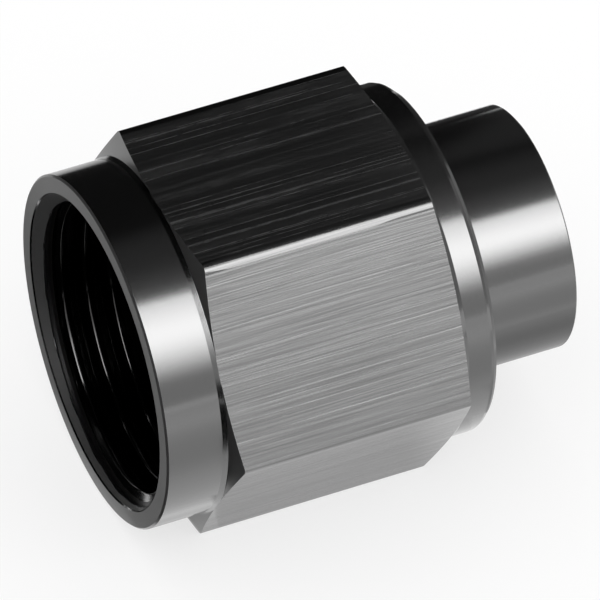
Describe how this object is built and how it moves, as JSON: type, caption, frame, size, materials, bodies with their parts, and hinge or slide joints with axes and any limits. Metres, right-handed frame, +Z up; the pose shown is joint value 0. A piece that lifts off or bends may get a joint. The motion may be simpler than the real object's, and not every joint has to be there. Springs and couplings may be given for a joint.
{
  "type": "threaded protection cap",
  "caption": "Hexagonal threaded cap that closes and seals the end of a 37 degree flare fitting, with a round collar at its open mouth and a plain round boss on its closed end.",
  "frame": {"origin": "middle of the base: under the centre of the cap's length and width, on the flat that it lies on", "axes": "+X along the axis from the open mouth to the boss, +Z up, square to the flat that it lies on"},
  "size_m": [0.0322, 0.0292, 0.0254],
  "materials": {
    "anodised_aluminium": "black anodised: flats brushed along the axis, turned surfaces satin"
  },
  "bodies": {
    "root": {"cap": "anodised_aluminium"}
  },
  "joints": []
}
